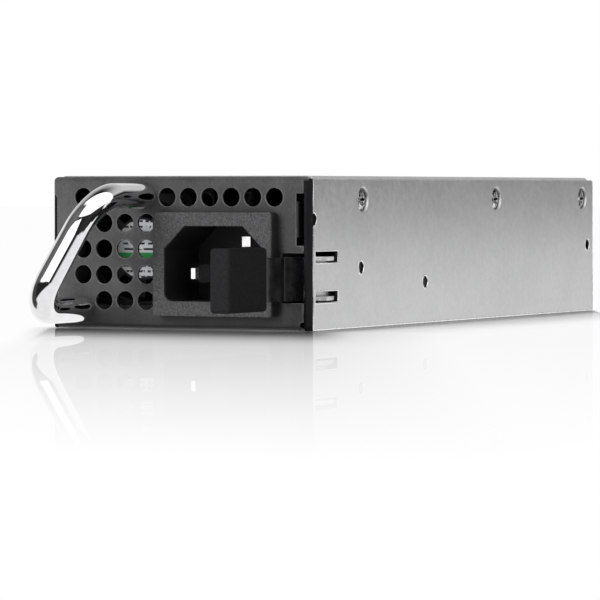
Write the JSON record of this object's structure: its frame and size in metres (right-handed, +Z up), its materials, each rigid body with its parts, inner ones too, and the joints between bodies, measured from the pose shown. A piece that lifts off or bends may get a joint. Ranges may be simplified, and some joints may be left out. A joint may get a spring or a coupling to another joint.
{
  "type": "hot swap server power supply",
  "caption": "Slim metal-cased server power supply with a perforated front panel, slanted bar handle, mains inlet, side release latch, inner fan and rear output socket.",
  "frame": {"origin": "middle of the underside, halfway between the front panel face and the rear wall", "axes": "+X to the right seen from the front, +Y from the front panel to the rear, +Z up"},
  "size_m": [0.0623, 0.2018, 0.0336],
  "materials": {
    "zinc_sheet": "zinc plated sheet steel, fine lengthwise grain",
    "black_sheet": "satin black powder coat on sheet steel",
    "black_strip": "gloss black coated spring steel, bare at the hooks",
    "screw_steel": "bright plated steel",
    "handle_chrome": "polished chrome plate",
    "inlet_plastic": "fine textured black moulding",
    "knob_plastic": "smooth black moulding",
    "contact_metal": "nickel plated brass",
    "fan_plastic": "black moulding",
    "label_foil": "printed silver film",
    "bearing_bronze": "sintered bronze",
    "copper_wire": "enamelled copper",
    "board_laminate": "green solder mask on laminate",
    "clear_film": "thin insulating film",
    "standoff_brass": "turned brass",
    "fuse_case": "brown-black case",
    "ferrite": "dark grey ferrite",
    "film_case": "yellow case",
    "can_sleeve": "dark sleeve over an aluminium can",
    "sink_aluminium": "plain extruded aluminium",
    "package_epoxy": "moulded epoxy with a metal tab",
    "coil_tape": "yellow polyester tape over windings"
  },
  "bodies": {
    "chassis": {"board_screws": "screw_steel", "board_standoffs": "standoff_brass", "bulk_capacitors": "can_sleeve", "chassis_tray": "zinc_sheet", "choke_core": "ferrite", "choke_windings": "copper_wire", "control_board": "board_laminate", "cover_screws": "screw_steel", "earth_pin": "contact_metal", "fan_bearing": "bearing_bronze", "fan_bracket": "zinc_sheet", "fan_frame": "fan_plastic", "fan_label": "label_foil", "fan_screws": "screw_steel", "fan_stator": "copper_wire", "film_capacitor": "film_case", "foot_rivets": "screw_steel", "front_frame": "black_sheet", "front_panel": "black_sheet", "fuse": "fuse_case", "handle": "handle_chrome", "handle_screws": "screw_steel", "inlet_body": "inlet_plastic", "insulator_sheet": "clear_film", "latch_anchor": "black_strip", "latch_rivet": "black_strip", "line_pin": "contact_metal", "main_board": "board_laminate", "neutral_pin": "contact_metal", "output_capacitors": "can_sleeve", "output_choke": "ferrite", "output_connector": "inlet_plastic", "output_heatsink": "sink_aluminium", "output_rectifiers": "package_epoxy", "power_contacts": "contact_metal", "power_transistors": "package_epoxy", "primary_heatsink": "sink_aluminium", "signal_pins": "contact_metal", "tab_rivets": "black_sheet", "top_cover": "zinc_sheet", "transformer_coil": "coil_tape", "transformer_core": "ferrite"},
    "latch": {"latch_spring": "black_strip", "latch_knob": "knob_plastic"},
    "rotor": {"fan_rotor": "fan_plastic", "fan_shaft": "screw_steel"}
  },
  "joints": [
    {"name": "latch_release", "type": "hinge", "parent": "chassis", "child": "latch", "pos_m": [0.0285, -0.0361, 0.01128], "axis": [0, 0, -1], "range_deg": [0, 1.4], "stiffness_Nm_per_rad": 2, "springref_deg": -1.72},
    {"name": "fan_spin", "type": "hinge", "parent": "chassis", "child": "rotor", "pos_m": [-0.01619, -0.0674, 0.0174], "axis": [0, 1, 0], "continuous": true}
  ]
}
